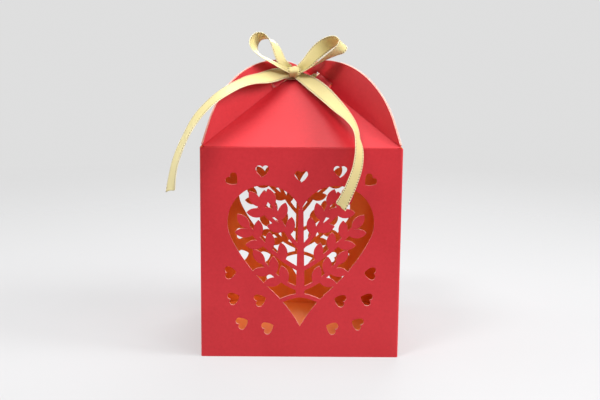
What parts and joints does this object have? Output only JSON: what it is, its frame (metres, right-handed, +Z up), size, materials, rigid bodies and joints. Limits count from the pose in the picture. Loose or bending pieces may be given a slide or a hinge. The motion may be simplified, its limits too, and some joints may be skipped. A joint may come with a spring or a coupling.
{
  "type": "valentine favour box",
  "caption": "Square red card favour box with heart cut-outs in its walls, a folding four-flap roof with standing fins, and a gold ribbon bow.",
  "frame": {"origin": "middle of the base on the table", "axes": "+Z up, the front wall with the bow faces -Y, +X to the right as seen from the front"},
  "size_m": [0.0883, 0.0852, 0.124],
  "materials": {
    "card": "matt red card, orange inside",
    "ribbon": "gold satin"
  },
  "bodies": {
    "box": {"front_wall": "card", "right_wall": "card", "back_wall": "card", "left_wall": "card", "glue_tab": "card", "base_panel": "card", "left_base_flap": "card", "right_base_flap": "card", "front_base_flap": "card"},
    "front_flap": {"front_flap": "card", "front_neck_ribbon": "ribbon", "bow_knot": "ribbon", "bow_left_loop": "ribbon", "bow_right_loop": "ribbon", "bow_left_tail": "ribbon", "bow_right_tail": "ribbon"},
    "right_flap": {"right_flap": "card", "right_neck_ribbon": "ribbon"},
    "back_flap": {"back_flap": "card", "back_neck_ribbon": "ribbon"},
    "left_flap": {"left_flap": "card", "left_neck_ribbon": "ribbon"},
    "front_flap_left_wing": {"front_flap_left_wing": "card", "front_flap_left_slot_tongue": "card"},
    "front_flap_right_wing": {"front_flap_right_wing": "card", "front_flap_right_slot_tongue": "card"},
    "right_flap_left_wing": {"right_flap_left_wing": "card", "right_flap_left_slot_tongue": "card"},
    "right_flap_right_wing": {"right_flap_right_wing": "card", "right_flap_right_slot_tongue": "card"},
    "back_flap_left_wing": {"back_flap_left_wing": "card", "back_flap_left_slot_tongue": "card"},
    "back_flap_right_wing": {"back_flap_right_wing": "card", "back_flap_right_slot_tongue": "card"},
    "left_flap_left_wing": {"left_flap_left_wing": "card", "left_flap_left_slot_tongue": "card"},
    "left_flap_right_wing": {"left_flap_right_wing": "card", "left_flap_right_slot_tongue": "card"}
  },
  "joints": [
    {"name": "front_flap_crease", "type": "hinge", "parent": "box", "child": "front_flap", "pos_m": [0, -0.0378, 0.081], "axis": [1, 0, 0], "range_deg": [0, 118], "deforming": ["bow_left_tail", "bow_right_tail"]},
    {"name": "right_flap_crease", "type": "hinge", "parent": "box", "child": "right_flap", "pos_m": [0.0378, 0, 0.081], "axis": [0, 1, 0], "range_deg": [0, 118]},
    {"name": "back_flap_crease", "type": "hinge", "parent": "box", "child": "back_flap", "pos_m": [0, 0.0378, 0.081], "axis": [-1, 0, 0], "range_deg": [0, 118]},
    {"name": "left_flap_crease", "type": "hinge", "parent": "box", "child": "left_flap", "pos_m": [-0.0378, 0, 0.081], "axis": [0, -1, 0], "range_deg": [0, 118]},
    {"name": "front_left_wing_crease", "type": "hinge", "parent": "front_flap", "child": "front_flap_left_wing", "pos_m": [-0.01869, -0.01911, 0.09558], "axis": [-0.6191, -0.6191, -0.4832], "range_deg": [0, 64.21]},
    {"name": "front_right_wing_crease", "type": "hinge", "parent": "front_flap", "child": "front_flap_right_wing", "pos_m": [0.01869, -0.01911, 0.09558], "axis": [-0.6191, 0.6191, 0.4832], "range_deg": [0, 64.21]},
    {"name": "right_left_wing_crease", "type": "hinge", "parent": "right_flap", "child": "right_flap_left_wing", "pos_m": [0.01911, -0.01869, 0.09558], "axis": [0.6191, -0.6191, -0.4832], "range_deg": [0, 64.21]},
    {"name": "right_right_wing_crease", "type": "hinge", "parent": "right_flap", "child": "right_flap_right_wing", "pos_m": [0.01911, 0.01869, 0.09558], "axis": [-0.6191, -0.6191, 0.4832], "range_deg": [0, 64.21]},
    {"name": "back_left_wing_crease", "type": "hinge", "parent": "back_flap", "child": "back_flap_left_wing", "pos_m": [0.01869, 0.01911, 0.09558], "axis": [0.6191, 0.6191, -0.4832], "range_deg": [0, 64.21]},
    {"name": "back_right_wing_crease", "type": "hinge", "parent": "back_flap", "child": "back_flap_right_wing", "pos_m": [-0.01869, 0.01911, 0.09558], "axis": [0.6191, -0.6191, 0.4832], "range_deg": [0, 64.21]},
    {"name": "left_left_wing_crease", "type": "hinge", "parent": "left_flap", "child": "left_flap_left_wing", "pos_m": [-0.01911, 0.01869, 0.09558], "axis": [-0.6191, 0.6191, -0.4832], "range_deg": [0, 64.21]},
    {"name": "left_right_wing_crease", "type": "hinge", "parent": "left_flap", "child": "left_flap_right_wing", "pos_m": [-0.01911, -0.01869, 0.09558], "axis": [0.6191, 0.6191, 0.4832], "range_deg": [0, 64.21]}
  ],
  "couplings": [
    {"joint": "front_left_wing_crease", "follows": "front_flap_crease", "ratio": 0.54417},
    {"joint": "front_right_wing_crease", "follows": "front_flap_crease", "ratio": 0.54417},
    {"joint": "right_left_wing_crease", "follows": "right_flap_crease", "ratio": 0.54417},
    {"joint": "right_right_wing_crease", "follows": "right_flap_crease", "ratio": 0.54417},
    {"joint": "back_left_wing_crease", "follows": "back_flap_crease", "ratio": 0.54417},
    {"joint": "back_right_wing_crease", "follows": "back_flap_crease", "ratio": 0.54417},
    {"joint": "left_left_wing_crease", "follows": "left_flap_crease", "ratio": 0.54417},
    {"joint": "left_right_wing_crease", "follows": "left_flap_crease", "ratio": 0.54417}
  ]
}
